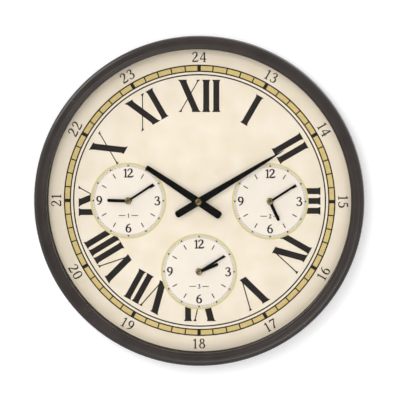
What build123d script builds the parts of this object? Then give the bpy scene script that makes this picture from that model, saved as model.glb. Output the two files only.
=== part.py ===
"""A round wall clock with one main dial and three small dials, each with its own quartz movement.

The wall plane is y = 0, the dial faces -Y, twelve o'clock is +Z, and the origin is on the main
hands' axis in the wall plane. A level is a distance off the wall. Lengths are in millimetres.
"""
import os
from math import acos, cos, hypot, pi, radians, sin, tan

from build123d import *

# Case radii
outer_radius = 200.0
bezel_width = 16.4
glass_seat_width = 6.4
case_skin = 2.6
case_gap = 0.4
spacer_width = 5.6
cover_wall = 2.4
cover_trench = 11.0

# Plates and clearances across the depth
knob_wall_gap = 2.2
washer_thickness = 0.8
dial_thickness = 1.6
glass_clearance = 1.5
glass_thickness = 2.0
lip_thickness = 2.6
cove_drop = 1.4
movement_proud = 2.4
panel_thickness = 2.2
flange_thickness = 2.6

# Bezel section
side_height = 28.0
flank_lean = 0.9
shoulder_height = 5.5
shoulder_run = 5.85
face_width = 3.85
face_thickness = 3.6
cove_width = 4.0
lip_edge_round = 0.8
glass_edge_chamfer = 0.3

# Back cover details
cover_corner_round = 3.0
window_gap = 0.6
rib_height = 1.2
rib_width = 2.0
rib_ring_gap = 7.7
rib_count = 12
rib_end_gap = 4.0

# Case screws and their bosses
case_screw_count = 8
screw_radius = 1.45
screw_thread_gap = 0.15
screw_hole_gap = 0.25
screw_head_radius = 2.4
screw_head_gap = 0.4
screw_head_height = 1.8
screw_length = 12.0
screw_slot_width = 0.8
screw_slot_depth = 0.7
boss_wall = 2.5
boss_spare_depth = 2.0

# Hanger plate on the back cover
hanger_inset = 36.4
hanger_width = 46.0
hanger_drop = 28.0
hanger_thickness = 1.0
hanger_corner = 3.0
hanger_wall_gap = 1.0
keyhole_radius = 5.0
keyhole_slot_width = 5.0
keyhole_travel = 10.0
hanger_screw_spacing = 34.0
hanger_screw_length = 4.0
hanger_screw_head_height = 1.4
hanger_screw_spare_depth = 0.6
hanger_post_radius = 4.0

# Dial layout: the small dials sit left, right and below the middle
small_dial_distance = 86.2

# Movement housing
movement_corner = 3.0
movement_wall = 1.2
front_plate = 1.4
rear_plate = 1.2
cover_depth = 8.2
bush_radius = 3.0
bush_over_nut = 1.0
bush_hand_gap = 1.5
dial_hole_gap = 0.2
nut_flats = 8.0
nut_thickness = 1.8
nut_thread_gap = 0.05
washer_radius = 8.0

# Battery and its bay
battery_radius = 7.1
battery_length = 50.5
battery_nub_radius = 2.7
battery_nub_length = 1.0
battery_gap = 0.4
battery_edge_round = 0.6
bay_wall = 0.8
contact_thickness = 0.4
contact_width = 9.0
contact_height = 8.0
contact_bump_radius = 2.2
contact_reach = 1.15
contact_gap = 0.05

# Running fits
running_gap = 0.08
push_gap = 0.02
end_gap = 0.3

# Gear teeth: pinions are the toothings with fewer teeth than pinion_limit
pressure_angle = radians(20)
addendum = 0.8
dedendum = 1.1
tooth_share = 0.42
pinion_limit = 20
motion_module = 0.5
cannon_teeth = 12
minute_wheel_teeth = 36
minute_pinion_teeth = 10
hour_wheel_teeth = 40
centre_module = 0.34
centre_teeth = 60
third_pinion_teeth = 8
third_module = 0.25
third_teeth = 64
second_pinion_teeth = 8
second_module = 0.2
second_teeth = 60
rotor_pinion_teeth = 8

# Directions from one arbor to the next, counter-clockwise from three o'clock, in degrees
minute_wheel_direction = 150.0
third_direction = 20.0
second_direction = 100.0
rotor_direction = 60.0

# Wheels and the gaps between them, from the front plate backwards
hour_wheel_gap = 1.0
hour_wheel_thickness = 1.8
cannon_gap = 1.0
cannon_length = 2.0
minute_wheel_thickness = 1.4
centre_gap = 1.6
centre_thickness = 1.2
third_gap = 1.2
third_thickness = 1.2
second_gap = 1.0
second_thickness = 1.0
second_rear_gap = 0.8
pinion_over = 0.4

# Arbors
pivot_radius = 0.6
pivot_length = 0.7
arbor_radius = 1.0
stem_radius = 1.5
minute_shaft_radius = 1.3
minute_thread_radius = 1.05
hour_pipe_wall = 0.6

# Setting knob
knob_radius = 7.0
knob_thickness = 2.7
knob_gap = 0.3
knob_bore_depth = 1.9
knob_flutes = 24
knob_flute_radius = 0.7

# Circuit board and motor
board_length = 18.0
board_width = 9.6
board_thickness = 1.0
board_inset = 1.0
chip_radius = 2.4
chip_height = 1.0
crystal_diameter = 2.0
crystal_length = 6.0
stator_thickness = 1.0
stator_bar = 3.0
stator_span = 21.0
stator_stand = 3.2
coil_radius = 2.6
coil_length = 15.0
coil_inset = 3.0
coil_flange = 0.8
core_gap = 0.1
rotor_cap_radius = 3.0
rotor_cap_gap = 1.8
post_radius = 1.5

# Hands: lengths run from the arbor
hand_gap = 1.0
hand_edge = 0.15
small_hand_thickness = 0.5
small_hour_length = 25.5
small_hour_width = 3.9
small_minute_length = 37.3
small_minute_width = 2.8
small_boss_radius = 3.2
main_over_small_gap = 2.8
main_hand_thickness = 0.7
main_boss_radius = 3.8
main_tail_length = 32.0
main_tail_chamfer = 2.0
main_hour_length = 76.0
main_hour_tail_width = 9.4
main_hour_neck_width = 8.7
main_hour_tip_width = 5.8
main_hour_tip_chamfer = 1.2
main_minute_length = 120.5
main_minute_tail_width = 8.5
main_minute_neck_width = 8.7
main_minute_shoulder = 93.0
main_minute_shoulder_width = 4.3
main_minute_tip_width = 0.5
neck_distance = 9.0

# Cap nuts over the hands
main_cap_radius = 4.05
main_cap_height = 2.9
small_cap_radius = 3.6
small_cap_height = 2.1
cap_rim_share = 0.4
cap_thread_share = 0.6
cap_flat_share = 0.5
cap_thread_gap = 0.05

# Housing depth: the battery or the wheel train, whichever needs more
battery_stack = 2 * (battery_gap + battery_radius)
hour_stack = hour_wheel_gap + hour_wheel_thickness
cannon_stack = hour_stack + cannon_gap + cannon_length
centre_stack = cannon_stack + centre_gap + centre_thickness
third_stack = centre_stack + third_gap + third_thickness
second_stack = third_stack + second_gap + second_thickness
train_stack = second_stack + second_rear_gap + rear_plate
movement_depth = front_plate + max(battery_stack, train_stack)

# Housing width: the battery, its contacts and the walls
movement_size = battery_length + 2 * (contact_reach + contact_thickness + movement_wall)
movement_half = movement_size / 2
inside_half = movement_half - movement_wall
window = movement_size + 2 * window_gap

# Levels off the wall, from the back forwards
knob_back = knob_wall_gap
knob_front = knob_back + knob_thickness
movement_back = knob_front + knob_gap
movement_front = movement_back + movement_depth
movement_split = movement_back + cover_depth
inside_back = movement_back + rear_plate
inside_front = movement_front - front_plate
panel_back = movement_back + movement_proud
panel_front = panel_back + panel_thickness
hanger_back = hanger_wall_gap + hanger_screw_head_height
hanger_front = hanger_back + hanger_thickness
dial_back = movement_front + washer_thickness
dial_front = dial_back + dial_thickness
flange_back = dial_back - flange_thickness
small_bush_front = dial_front + nut_thickness + bush_over_nut
small_hour_back = small_bush_front + bush_hand_gap
small_minute_back = small_hour_back + small_hand_thickness + hand_gap
small_cap_back = small_minute_back + small_hand_thickness
main_hour_back = small_cap_back + small_cap_height + main_over_small_gap
main_bush_front = main_hour_back - bush_hand_gap
main_minute_back = main_hour_back + main_hand_thickness + hand_gap
main_cap_back = main_minute_back + main_hand_thickness
glass_back = main_cap_back + main_cap_height + glass_clearance
glass_front = glass_back + glass_thickness
lip_front = glass_front + lip_thickness
crest = lip_front + cove_drop

# Levels of the wheels and the motor
hour_wheel_front = inside_front - hour_wheel_gap
hour_wheel_back = inside_front - hour_stack
cannon_front = hour_wheel_back - cannon_gap
cannon_back = inside_front - cannon_stack
minute_wheel_back = (cannon_front + cannon_back - minute_wheel_thickness) / 2
centre_front = cannon_back - centre_gap
centre_back = inside_front - centre_stack
third_front = centre_back - third_gap
third_back = inside_front - third_stack
second_front = third_back - second_gap
second_back = inside_front - second_stack
stator_front = inside_front - stator_stand
stator_back = stator_front - stator_thickness

# Radii of the case from the outside in
lip_radius = outer_radius - bezel_width
bore_radius = lip_radius + glass_seat_width
glass_radius = bore_radius - case_gap
channel_inner_radius = bore_radius + case_skin
channel_outer_radius = outer_radius - case_skin
flange_radius = channel_outer_radius - case_gap
cover_pan_radius = channel_outer_radius - cover_trench
screw_circle_radius = channel_outer_radius - screw_head_radius - screw_head_gap
boss_radius = screw_radius + boss_wall
rib_ring_radius = hypot(small_dial_distance + window / 2, window / 2) + rib_ring_gap
hanger_height = cover_pan_radius - hanger_inset

# Fits around the arbors, and the bay's place in the housing
hour_pipe_bore = minute_shaft_radius + running_gap
hour_pipe_radius = hour_pipe_bore + hour_pipe_wall
bush_bore = hour_pipe_radius + running_gap
battery_centre = battery_gap + battery_radius - inside_half
battery_level = inside_front - battery_gap - battery_radius
bay_top = battery_centre + battery_radius + battery_gap
coil_centre = inside_half - coil_inset
hour_module = motion_module * (cannon_teeth + minute_wheel_teeth)
hour_module = hour_module / (minute_pinion_teeth + hour_wheel_teeth)


def polar(distance, direction):
    """An offset (right, up) at a distance and a direction in degrees."""
    return distance * cos(radians(direction)), distance * sin(radians(direction))


def beyond(place, offset):
    return place[0] + offset[0], place[1] + offset[1]


def centre_distance(module, teeth, other_teeth):
    return module * (teeth + other_teeth) / 2


# Where the arbors stand, seen from the front, from the middle of the housing
middle = (0.0, 0.0)
minute_wheel_place = polar(
    centre_distance(motion_module, cannon_teeth, minute_wheel_teeth), minute_wheel_direction
)
third_place = polar(
    centre_distance(centre_module, centre_teeth, third_pinion_teeth), third_direction
)
second_place = beyond(
    third_place,
    polar(centre_distance(third_module, third_teeth, second_pinion_teeth), second_direction),
)
rotor_place = beyond(
    second_place,
    polar(centre_distance(second_module, second_teeth, rotor_pinion_teeth), rotor_direction),
)
stator_left = rotor_place[0] - stator_span / 2
stator_right = rotor_place[0] + stator_span / 2

# Each dial: where its arbor stands, and where its hands point, in degrees clockwise from twelve
dials = {
    "main": {"place": middle, "hour": 303.4, "minute": 58.7},
    "left": {"place": (-small_dial_distance, 0.0), "hour": 271.5, "minute": 56.5},
    "right": {"place": (small_dial_distance, 0.0), "hour": 155.0, "minute": 57.0},
    "lower": {"place": (0.0, -small_dial_distance), "hour": 67.0, "minute": 57.3},
}
places = [dial["place"] for dial in dials.values()]
stands = [(right, 0, up) for right, up in places]

os.makedirs("parts", exist_ok=True)


def save(builder, name):
    builder.part.label = name
    export_step(builder.part, f"parts/{name}.step")


def save_at(builder, name, place):
    """Writes a piece made at the middle of the clock, moved to a dial's place."""
    with BuildPart() as placed:
        with Locations((place[0], 0, place[1])):
            add(builder.part)
    save(placed, name)


def save_at_every_dial(builder, name):
    """Writes one copy of a piece made at the middle of the clock for each dial, as separate solids."""
    with BuildPart() as group:
        with Locations(*stands):
            add(builder.part)
    save(group, name)


def front_plane(level, place=middle, clockwise=0.0):
    """A plane parallel to the wall, seen from the front: x runs right and y up before it is turned."""
    turn = radians(clockwise)
    return Plane(
        origin=(place[0], -level, place[1]),
        x_dir=(cos(turn), 0, -sin(turn)),
        z_dir=(0, -1, 0),
    )


def cross_plane(right, level, up, facing=1):
    """A plane square to the wall and to the battery's axis, facing right (1) or left (-1)."""
    return Plane(origin=(right, -level, up), x_dir=(0, 1, 0), z_dir=(facing, 0, 0))


section_plane = Plane(origin=(0, 0, 0), x_dir=(1, 0, 0), z_dir=(0, 0, -1))
main_axis = Axis((0, 0, 0), (0, -1, 0))


def discs(spots, radius, back, front, mode=Mode.ADD, clean=True):
    """Round stretches of the part in hand, from one level to another."""
    with BuildSketch(front_plane(back)) as section:
        with Locations(*spots):
            Circle(radius)
    extrude(section.sketch, amount=front - back, mode=mode, clean=clean)


def block(place, size, back, front, corner=0.0, mode=Mode.ADD):
    """A rectangular stretch of the part in hand, with rounded corners where a radius is given."""
    with BuildSketch(front_plane(back, place)) as section:
        if corner:
            RectangleRounded(size[0], size[1], corner)
        else:
            Rectangle(size[0], size[1])
    extrude(section.sketch, amount=front - back, mode=mode)


def rod(plane, radius, length):
    """A round stretch of the part in hand that runs along the wall."""
    with BuildSketch(plane) as section:
        Circle(radius)
    extrude(section.sketch, amount=length)


def shaft(place, radius, back, front):
    discs([place], radius, back, front, clean=False)


def involute(angle):
    return tan(angle) - angle


def toothing(place, teeth, module, phase, back, front):
    """Teeth of the part in hand, one pointing along phase: involute, in flat facets."""
    pitch = teeth * module / 2
    base = pitch * cos(pressure_angle)
    root = pitch - dedendum * module
    tip = pitch + addendum * module
    flank = [root, base, pitch, tip] if teeth < pinion_limit else [root, tip]

    def half_angle(radius):
        at_base = tooth_share * pi / teeth + involute(pressure_angle)
        return at_base - (involute(acos(base / radius)) if radius > base else 0.0)

    corners = []
    for tooth in range(teeth):
        tooth_middle = radians(phase) + 2 * pi * tooth / teeth
        for radius in flank:
            angle = tooth_middle - half_angle(radius)
            corners.append((radius * cos(angle), radius * sin(angle)))
        for radius in reversed(flank):
            angle = tooth_middle + half_angle(radius)
            corners.append((radius * cos(angle), radius * sin(angle)))
    with BuildSketch(front_plane(back, place)) as section:
        with BuildLine():
            Polyline(*corners, close=True)
        make_face()
    extrude(section.sketch, amount=front - back, clean=False)


def gap_phase(direction, teeth):
    """The phase that turns a tooth gap to meet the tooth that points along direction."""
    return direction + 180 + 180 / teeth


def slotted_screws(spots, seat, length, head_height):
    """Pan-head screws driven forwards: their heads lie behind the seat level."""
    discs(spots, screw_radius, seat, seat + length)
    discs(spots, screw_head_radius, seat - head_height, seat)
    slot_floor = seat - head_height + screw_slot_depth
    with BuildSketch(front_plane(seat - head_height)) as slots:
        with Locations(*spots):
            Rectangle(2 * screw_head_radius, screw_slot_width)
    extrude(slots.sketch, amount=slot_floor - seat + head_height, mode=Mode.SUBTRACT)


# The bezel is a hollow moulding: side wall, rounded shoulder, flat face, cove and glass lip
case_screw_spots = [
    polar(screw_circle_radius, 360 * (step + 0.5) / case_screw_count)
    for step in range(case_screw_count)
]
pilot_radius = screw_radius + screw_thread_gap
flank_top = crest - shoulder_height
shoulder_radius = outer_radius - flank_lean - shoulder_run
face_radius = shoulder_radius - face_width
cove_radius = face_radius - cove_width
channel_roof = crest - face_thickness
with BuildPart() as bezel:
    with BuildSketch(section_plane):
        with BuildLine():
            side = Polyline(
                (lip_radius, glass_front),
                (bore_radius, glass_front),
                (bore_radius, dial_back),
                (channel_inner_radius, dial_back),
                (channel_inner_radius, channel_roof),
                (shoulder_radius, channel_roof),
                (channel_outer_radius - flank_lean, flank_top - case_skin),
                (channel_outer_radius, side_height),
                (channel_outer_radius, 0),
                (outer_radius, 0),
                (outer_radius, side_height),
                (outer_radius - flank_lean, flank_top),
            )
            shoulder = TangentArc(side @ 1, (shoulder_radius, crest), tangent=side % 1)
            Line(shoulder @ 1, (face_radius, crest))
            cove_middle = ((face_radius + cove_radius) / 2, (crest + lip_front) / 2)
            falling = TangentArc((face_radius, crest), cove_middle, tangent=(-1, 0))
            rising = TangentArc(cove_middle, (cove_radius, lip_front), tangent=falling % 1)
            lip_end = (lip_radius, lip_front - lip_edge_round)
            lip_start = (lip_radius + lip_edge_round, lip_front)
            Line(rising @ 1, lip_start)
            TangentArc(lip_start, lip_end, tangent=(-1, 0))
            Line(lip_end, (lip_radius, glass_front))
        make_face()
    revolve(axis=main_axis)
    discs(case_screw_spots, boss_radius, dial_back, flank_top - case_skin)
    pilot_top = flange_back + screw_length + boss_spare_depth
    discs(case_screw_spots, pilot_radius, dial_back, pilot_top, Mode.SUBTRACT)
save(bezel, "bezel")

# A flat disc of glass lies under the lip
with BuildPart() as front_glass:
    discs([middle], glass_radius, glass_back, glass_front)
    chamfer(front_glass.edges().filter_by(GeomType.CIRCLE), glass_edge_chamfer)
save(front_glass, "front_glass")

# A ring keeps the glass off the dial
with BuildPart() as spacer_ring:
    discs([middle], glass_radius, dial_front, glass_back)
    discs([middle], glass_radius - spacer_width, dial_front, glass_back, Mode.SUBTRACT)
save(spacer_ring, "spacer_ring")

# The dial is a plate with a hole for each movement's bush
dial_hole_radius = bush_radius + dial_hole_gap
with BuildPart() as dial_plate:
    discs([middle], glass_radius, dial_back, dial_front)
    discs(places, dial_hole_radius, dial_back, dial_front, Mode.SUBTRACT)
save(dial_plate, "dial_plate")

# The back cover is a pan: its flange holds the dial's rim, its panel has a window for each movement
hanger_posts = [(side * hanger_screw_spacing / 2, hanger_height) for side in (-1, 1)]
rib_back = panel_back - rib_height
rib_end = cover_pan_radius - cover_corner_round - rib_end_gap
with BuildPart() as back_cover:
    with BuildSketch(section_plane):
        with BuildLine():
            Polyline(
                (0, panel_back),
                (cover_pan_radius, panel_back),
                (cover_pan_radius, flange_back),
                (flange_radius, flange_back),
                (flange_radius, dial_back),
                (cover_pan_radius - cover_wall, dial_back),
                (cover_pan_radius - cover_wall, panel_front),
                (0, panel_front),
                close=True,
            )
        make_face()
    revolve(axis=main_axis)
    pan_edges = back_cover.edges().filter_by(GeomType.CIRCLE)
    pan_edges = pan_edges.filter_by_position(Axis.Y, -panel_back, -panel_back)
    fillet(pan_edges, cover_corner_round)
    with BuildSketch(front_plane(rib_back)) as ribs:
        Circle(rib_ring_radius + rib_width / 2)
        Circle(rib_ring_radius - rib_width / 2, mode=Mode.SUBTRACT)
        rib_turn = 180 / rib_count
        with PolarLocations((rib_ring_radius + rib_end) / 2, rib_count, start_angle=rib_turn):
            Rectangle(rib_end - rib_ring_radius, rib_width)
    extrude(ribs.sketch, amount=rib_height)
    with BuildSketch(front_plane(panel_back)) as windows:
        with Locations(*places):
            RectangleRounded(window, window, movement_corner)
    extrude(windows.sketch, amount=panel_thickness, mode=Mode.SUBTRACT)
    screw_hole_radius = screw_radius + screw_hole_gap
    discs(case_screw_spots, screw_hole_radius, flange_back, dial_back, Mode.SUBTRACT)
    discs(hanger_posts, hanger_post_radius, hanger_front, panel_back)
    pilot_top = hanger_back + hanger_screw_length + hanger_screw_spare_depth
    discs(hanger_posts, pilot_radius, hanger_front, pilot_top, Mode.SUBTRACT)
save(back_cover, "back_cover")

# Screws through the cover's flange into the bezel's bosses
with BuildPart() as case_screws:
    slotted_screws(case_screw_spots, flange_back, screw_length, screw_head_height)
save(case_screws, "case_screws")

# The steel hanger plate stands off the panel on two posts, so that a wall screw's head fits in front
keyhole_entry = (0.0, hanger_height - keyhole_travel / 2)
keyhole_end = (0.0, hanger_height + keyhole_travel / 2)
with BuildPart() as hanger_plate:
    with BuildSketch(front_plane(hanger_back)):
        with Locations((0, hanger_height)):
            RectangleRounded(hanger_width, hanger_drop, hanger_corner)
            Rectangle(keyhole_slot_width, keyhole_travel, mode=Mode.SUBTRACT)
        with Locations(keyhole_entry):
            Circle(keyhole_radius, mode=Mode.SUBTRACT)
        with Locations(keyhole_end):
            Circle(keyhole_slot_width / 2, mode=Mode.SUBTRACT)
        with Locations(*hanger_posts):
            Circle(screw_hole_radius, mode=Mode.SUBTRACT)
    extrude(amount=hanger_thickness)
save(hanger_plate, "hanger_plate")

# Screws that hold the hanger plate to its posts
with BuildPart() as hanger_screws:
    slotted_screws(hanger_posts, hanger_back, hanger_screw_length, hanger_screw_head_height)
save(hanger_screws, "hanger_screws")

# A hexagon nut clamps each movement's bush to the dial
with BuildPart() as bush_nut:
    with BuildSketch(front_plane(dial_front)):
        RegularPolygon(nut_flats / 2, 6, major_radius=False)
        Circle(bush_radius + nut_thread_gap, mode=Mode.SUBTRACT)
    extrude(amount=nut_thickness)
save_at_every_dial(bush_nut, "bush_nuts")

# A rubber washer lies between the dial and each movement
with BuildPart() as dial_washer:
    discs([middle], washer_radius, movement_front, dial_back)
    discs([middle], dial_hole_radius, movement_front, dial_back, Mode.SUBTRACT)
save_at_every_dial(dial_washer, "dial_washers")

# A battery lies across the bottom of each movement
can_length = battery_length - battery_nub_length
with BuildPart() as battery:
    can_left = -battery_length / 2
    rod(cross_plane(can_left, battery_level, battery_centre), battery_radius, can_length)
    fillet(battery.edges().filter_by(GeomType.CIRCLE), battery_edge_round)
    nub_left = can_left + can_length
    nub_plane = cross_plane(nub_left, battery_level, battery_centre)
    rod(nub_plane, battery_nub_radius, battery_nub_length)
save_at_every_dial(battery, "batteries")

# A spring contact stands at each end of a battery
with BuildPart() as contact_pair:
    for end in (-1, 1):
        block(
            (end * (inside_half - contact_thickness / 2), battery_centre),
            (contact_thickness, contact_height),
            battery_level - contact_width / 2,
            battery_level + contact_width / 2,
        )
        strip_face = end * (inside_half - contact_thickness)
        bump_plane = cross_plane(strip_face, battery_level, battery_centre, -end)
        rod(bump_plane, contact_bump_radius, contact_reach - contact_gap)
save_at_every_dial(contact_pair, "battery_contacts")

# The circuit board carries the chip and the quartz crystal, flat against the front plate
board_place = (
    board_inset + board_length / 2 - inside_half,
    inside_half - board_inset - board_width / 2,
)
board_back = inside_front - board_thickness
with BuildPart() as circuit_board:
    block(board_place, (board_length, board_width), board_back, inside_front)
    chip_place = beyond(board_place, (board_length / 4, 0))
    discs([chip_place], chip_radius, board_back - chip_height, board_back)
    crystal_place = beyond(board_place, (-board_length / 4, 0))
    crystal_size = (crystal_length, crystal_diameter)
    block(crystal_place, crystal_size, board_back - crystal_diameter, board_back)
save_at_every_dial(circuit_board, "circuit_boards")

# The motor's stator is a flat iron frame; a moulded cap on it closes the rotor in
rotor_bar_bottom = rotor_place[1] - rotor_cap_radius
rotor_bar_top = coil_centre - coil_radius - core_gap
stator_top = coil_centre + stator_bar / 2
coil_bay_bottom = coil_centre - stator_bar / 2
with BuildPart() as motor_stator:
    with BuildSketch(front_plane(stator_back)):
        with Locations((rotor_place[0], (stator_top + rotor_bar_bottom) / 2)):
            Rectangle(stator_span, stator_top - rotor_bar_bottom)
        with Locations((rotor_place[0], (coil_bay_bottom + rotor_bar_top) / 2)):
            coil_bay_height = coil_bay_bottom - rotor_bar_top
            Rectangle(coil_length + 2 * core_gap, coil_bay_height, mode=Mode.SUBTRACT)
    extrude(amount=stator_thickness)
    discs([rotor_place], rotor_cap_radius, second_front + rotor_cap_gap, stator_back)
save_at_every_dial(motor_stator, "motor_stators")

# The coil is wound on a bobbin around the stator's upper bar
coil_level = (stator_front + stator_back) / 2
coil_left = rotor_place[0] - coil_length / 2
coil_right = coil_left + coil_length
with BuildPart() as motor_coil:
    winding_plane = cross_plane(coil_left, coil_level, coil_centre)
    rod(winding_plane, coil_radius - coil_flange, coil_length)
    rod(winding_plane, coil_radius, coil_flange)
    rod(cross_plane(coil_right, coil_level, coil_centre, -1), coil_radius, coil_flange)
    block(
        (rotor_place[0], coil_centre),
        (coil_length, stator_bar + 2 * core_gap),
        stator_back - core_gap,
        stator_front + core_gap,
        mode=Mode.SUBTRACT,
    )
save_at_every_dial(motor_coil, "motor_coils")

# Housing outlines shared by the two halves of a movement
housing_outside = (movement_size, movement_size)
housing_inside = (2 * inside_half, 2 * inside_half)
inner_corner = movement_corner - movement_wall
bay_wall_place = (0, bay_top + bay_wall / 2)
bay_wall_size = (2 * inside_half, bay_wall)
pivot_hole_radius = pivot_radius + running_gap
pivot_hole_depth = pivot_length + running_gap


def movement_case(bush_front):
    """Front half of a housing: front plate, walls, bay wall, motor posts and the threaded bush."""
    with BuildPart() as case:
        block(middle, housing_outside, movement_split, movement_front, movement_corner)
        block(
            middle, housing_inside, movement_split, inside_front, inner_corner, Mode.SUBTRACT
        )
        block(bay_wall_place, bay_wall_size, movement_split, inside_front)
        motor_posts = [
            (stator_left + post_radius, coil_centre),
            (stator_right - post_radius, coil_centre),
        ]
        discs(motor_posts, post_radius, stator_front, inside_front)
        discs([middle], bush_radius, movement_front, bush_front)
        discs([middle], bush_bore, inside_front, bush_front, Mode.SUBTRACT)
        pivots = [minute_wheel_place, third_place, second_place]
        hole_end = inside_front + pivot_hole_depth
        discs(pivots, pivot_hole_radius, inside_front, hole_end, Mode.SUBTRACT)
    return case


def minute_arbor(hand_back, thread_front):
    """The centre arbor: centre wheel, cannon pinion and the shaft that carries the minute hand."""
    with BuildPart() as arbor:
        toothing(middle, centre_teeth, centre_module, third_direction, centre_back, centre_front)
        toothing(
            middle, cannon_teeth, motion_module, minute_wheel_direction, cannon_back, cannon_front
        )
        shaft(middle, pivot_radius, inside_back - pivot_length, inside_back + end_gap)
        shaft(middle, arbor_radius, inside_back + end_gap, centre_back)
        shaft(middle, arbor_radius, centre_front, cannon_back)
        shaft(middle, minute_shaft_radius, cannon_front, hand_back)
        shaft(middle, minute_thread_radius, hand_back, thread_front)
    return arbor


def hour_wheel(hand_front):
    """The hour wheel and its pipe, which turns around the minute shaft inside the bush."""
    with BuildPart() as wheel:
        phase = gap_phase(minute_wheel_direction + 180, hour_wheel_teeth)
        toothing(middle, hour_wheel_teeth, hour_module, phase, hour_wheel_back, hour_wheel_front)
        shaft(middle, hour_pipe_radius, hour_wheel_front, hand_front)
        discs([middle], hour_pipe_bore, hour_wheel_back, hand_front, Mode.SUBTRACT, clean=False)
    return wheel


def cap_nut(radius, back, height):
    """A turned brass cap with a rounded top, screwed onto the minute shaft."""
    rim = back + height * cap_rim_share
    thread_end = back + height * cap_thread_share
    bore = minute_thread_radius + cap_thread_gap
    with BuildPart() as cap:
        with BuildSketch(section_plane):
            with BuildLine():
                Polyline((0, thread_end), (bore, thread_end), (bore, back), (radius, back), (radius, rim))
                flat_edge = (radius * cap_flat_share, back + height)
                Spline((radius, rim), flat_edge, tangents=((0, 1), (-1, 0)))
                Polyline(flat_edge, (0, back + height), (0, thread_end))
            make_face()
        revolve(axis=main_axis)
    return cap


# Rear half of a housing: rear plate with pivot holes, the setting stem's hole and the open bay
with BuildPart() as movement_cover:
    block(middle, housing_outside, movement_back, movement_split, movement_corner)
    block(middle, housing_inside, inside_back, movement_split, inner_corner, Mode.SUBTRACT)
    block(bay_wall_place, bay_wall_size, inside_back, movement_split)
    mouth_place = (0, (bay_top - inside_half) / 2)
    mouth_size = (2 * inside_half, bay_top + inside_half)
    block(mouth_place, mouth_size, movement_back, inside_back, inner_corner, Mode.SUBTRACT)
    stem_hole_radius = stem_radius + running_gap
    discs([minute_wheel_place], stem_hole_radius, movement_back, inside_back, Mode.SUBTRACT)
    rear_pivots = [middle, third_place, second_place]
    hole_end = inside_back - pivot_hole_depth
    discs(rear_pivots, pivot_hole_radius, hole_end, inside_back, Mode.SUBTRACT)

# The wheel between the cannon pinion and the hour wheel, on the setting stem
with BuildPart() as minute_wheel:
    wheel_front = minute_wheel_back + minute_wheel_thickness
    toothing(
        minute_wheel_place,
        minute_wheel_teeth,
        motion_module,
        gap_phase(minute_wheel_direction, minute_wheel_teeth),
        minute_wheel_back,
        wheel_front,
    )
    pinion_front = hour_wheel_front + pinion_over
    toothing(
        minute_wheel_place,
        minute_pinion_teeth,
        hour_module,
        minute_wheel_direction + 180,
        wheel_front,
        pinion_front,
    )
    shaft(minute_wheel_place, pivot_radius, pinion_front, inside_front + pivot_length)
    shaft(minute_wheel_place, stem_radius, knob_front - knob_bore_depth, minute_wheel_back)

# The fluted knob is pressed onto the setting stem behind the housing
with BuildPart() as setting_knob:
    with BuildSketch(front_plane(knob_back, minute_wheel_place)):
        Circle(knob_radius)
        with PolarLocations(knob_radius, knob_flutes):
            Circle(knob_flute_radius, mode=Mode.SUBTRACT)
    extrude(amount=knob_thickness)
    stem_end = knob_front - knob_bore_depth
    knob_bore = stem_radius + push_gap
    discs([minute_wheel_place], knob_bore, stem_end, knob_front, Mode.SUBTRACT, clean=False)

# The third wheel: its pinion meets the centre wheel, its rim the second wheel's pinion
with BuildPart() as third_wheel:
    toothing(third_place, third_teeth, third_module, second_direction, third_back, third_front)
    toothing(
        third_place,
        third_pinion_teeth,
        centre_module,
        gap_phase(third_direction, third_pinion_teeth),
        third_front,
        centre_front + pinion_over,
    )
    shaft(third_place, pivot_radius, inside_back - pivot_length, third_back)
    shaft(third_place, pivot_radius, centre_front + pinion_over, inside_front + pivot_length)

# The second wheel, which the rotor drives at its rim
with BuildPart() as second_wheel:
    toothing(second_place, second_teeth, second_module, 0, second_back, second_front)
    toothing(
        second_place,
        second_pinion_teeth,
        third_module,
        gap_phase(second_direction, second_pinion_teeth),
        second_front,
        third_front + pinion_over,
    )
    shaft(second_place, pivot_radius, inside_back - pivot_length, second_back)
    shaft(second_place, pivot_radius, third_front + pinion_over, inside_front + pivot_length)

# The two lengths of bush, pipe and shaft: long for the main hands, short for the small dials
main_movement = {
    "movement_case": movement_case(main_bush_front),
    "minute_arbor": minute_arbor(
        main_minute_back, main_cap_back + main_cap_height * cap_thread_share - cap_thread_gap
    ),
    "hour_wheel": hour_wheel(main_hour_back + main_hand_thickness),
    "cap_nut": cap_nut(main_cap_radius, main_cap_back, main_cap_height),
}
small_movement = {
    "movement_case": movement_case(small_bush_front),
    "minute_arbor": minute_arbor(
        small_minute_back, small_cap_back + small_cap_height * cap_thread_share - cap_thread_gap
    ),
    "hour_wheel": hour_wheel(small_hour_back + small_hand_thickness),
    "cap_nut": cap_nut(small_cap_radius, small_cap_back, small_cap_height),
}
shared_movement = {
    "movement_cover": movement_cover,
    "minute_wheel": minute_wheel,
    "setting_knob": setting_knob,
    "third_wheel": third_wheel,
    "second_wheel": second_wheel,
}
for name, dial in dials.items():
    own_movement = main_movement if name == "main" else small_movement
    for piece, builder in {**own_movement, **shared_movement}.items():
        save_at(builder, f"{name}_{piece}", dial["place"])

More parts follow.
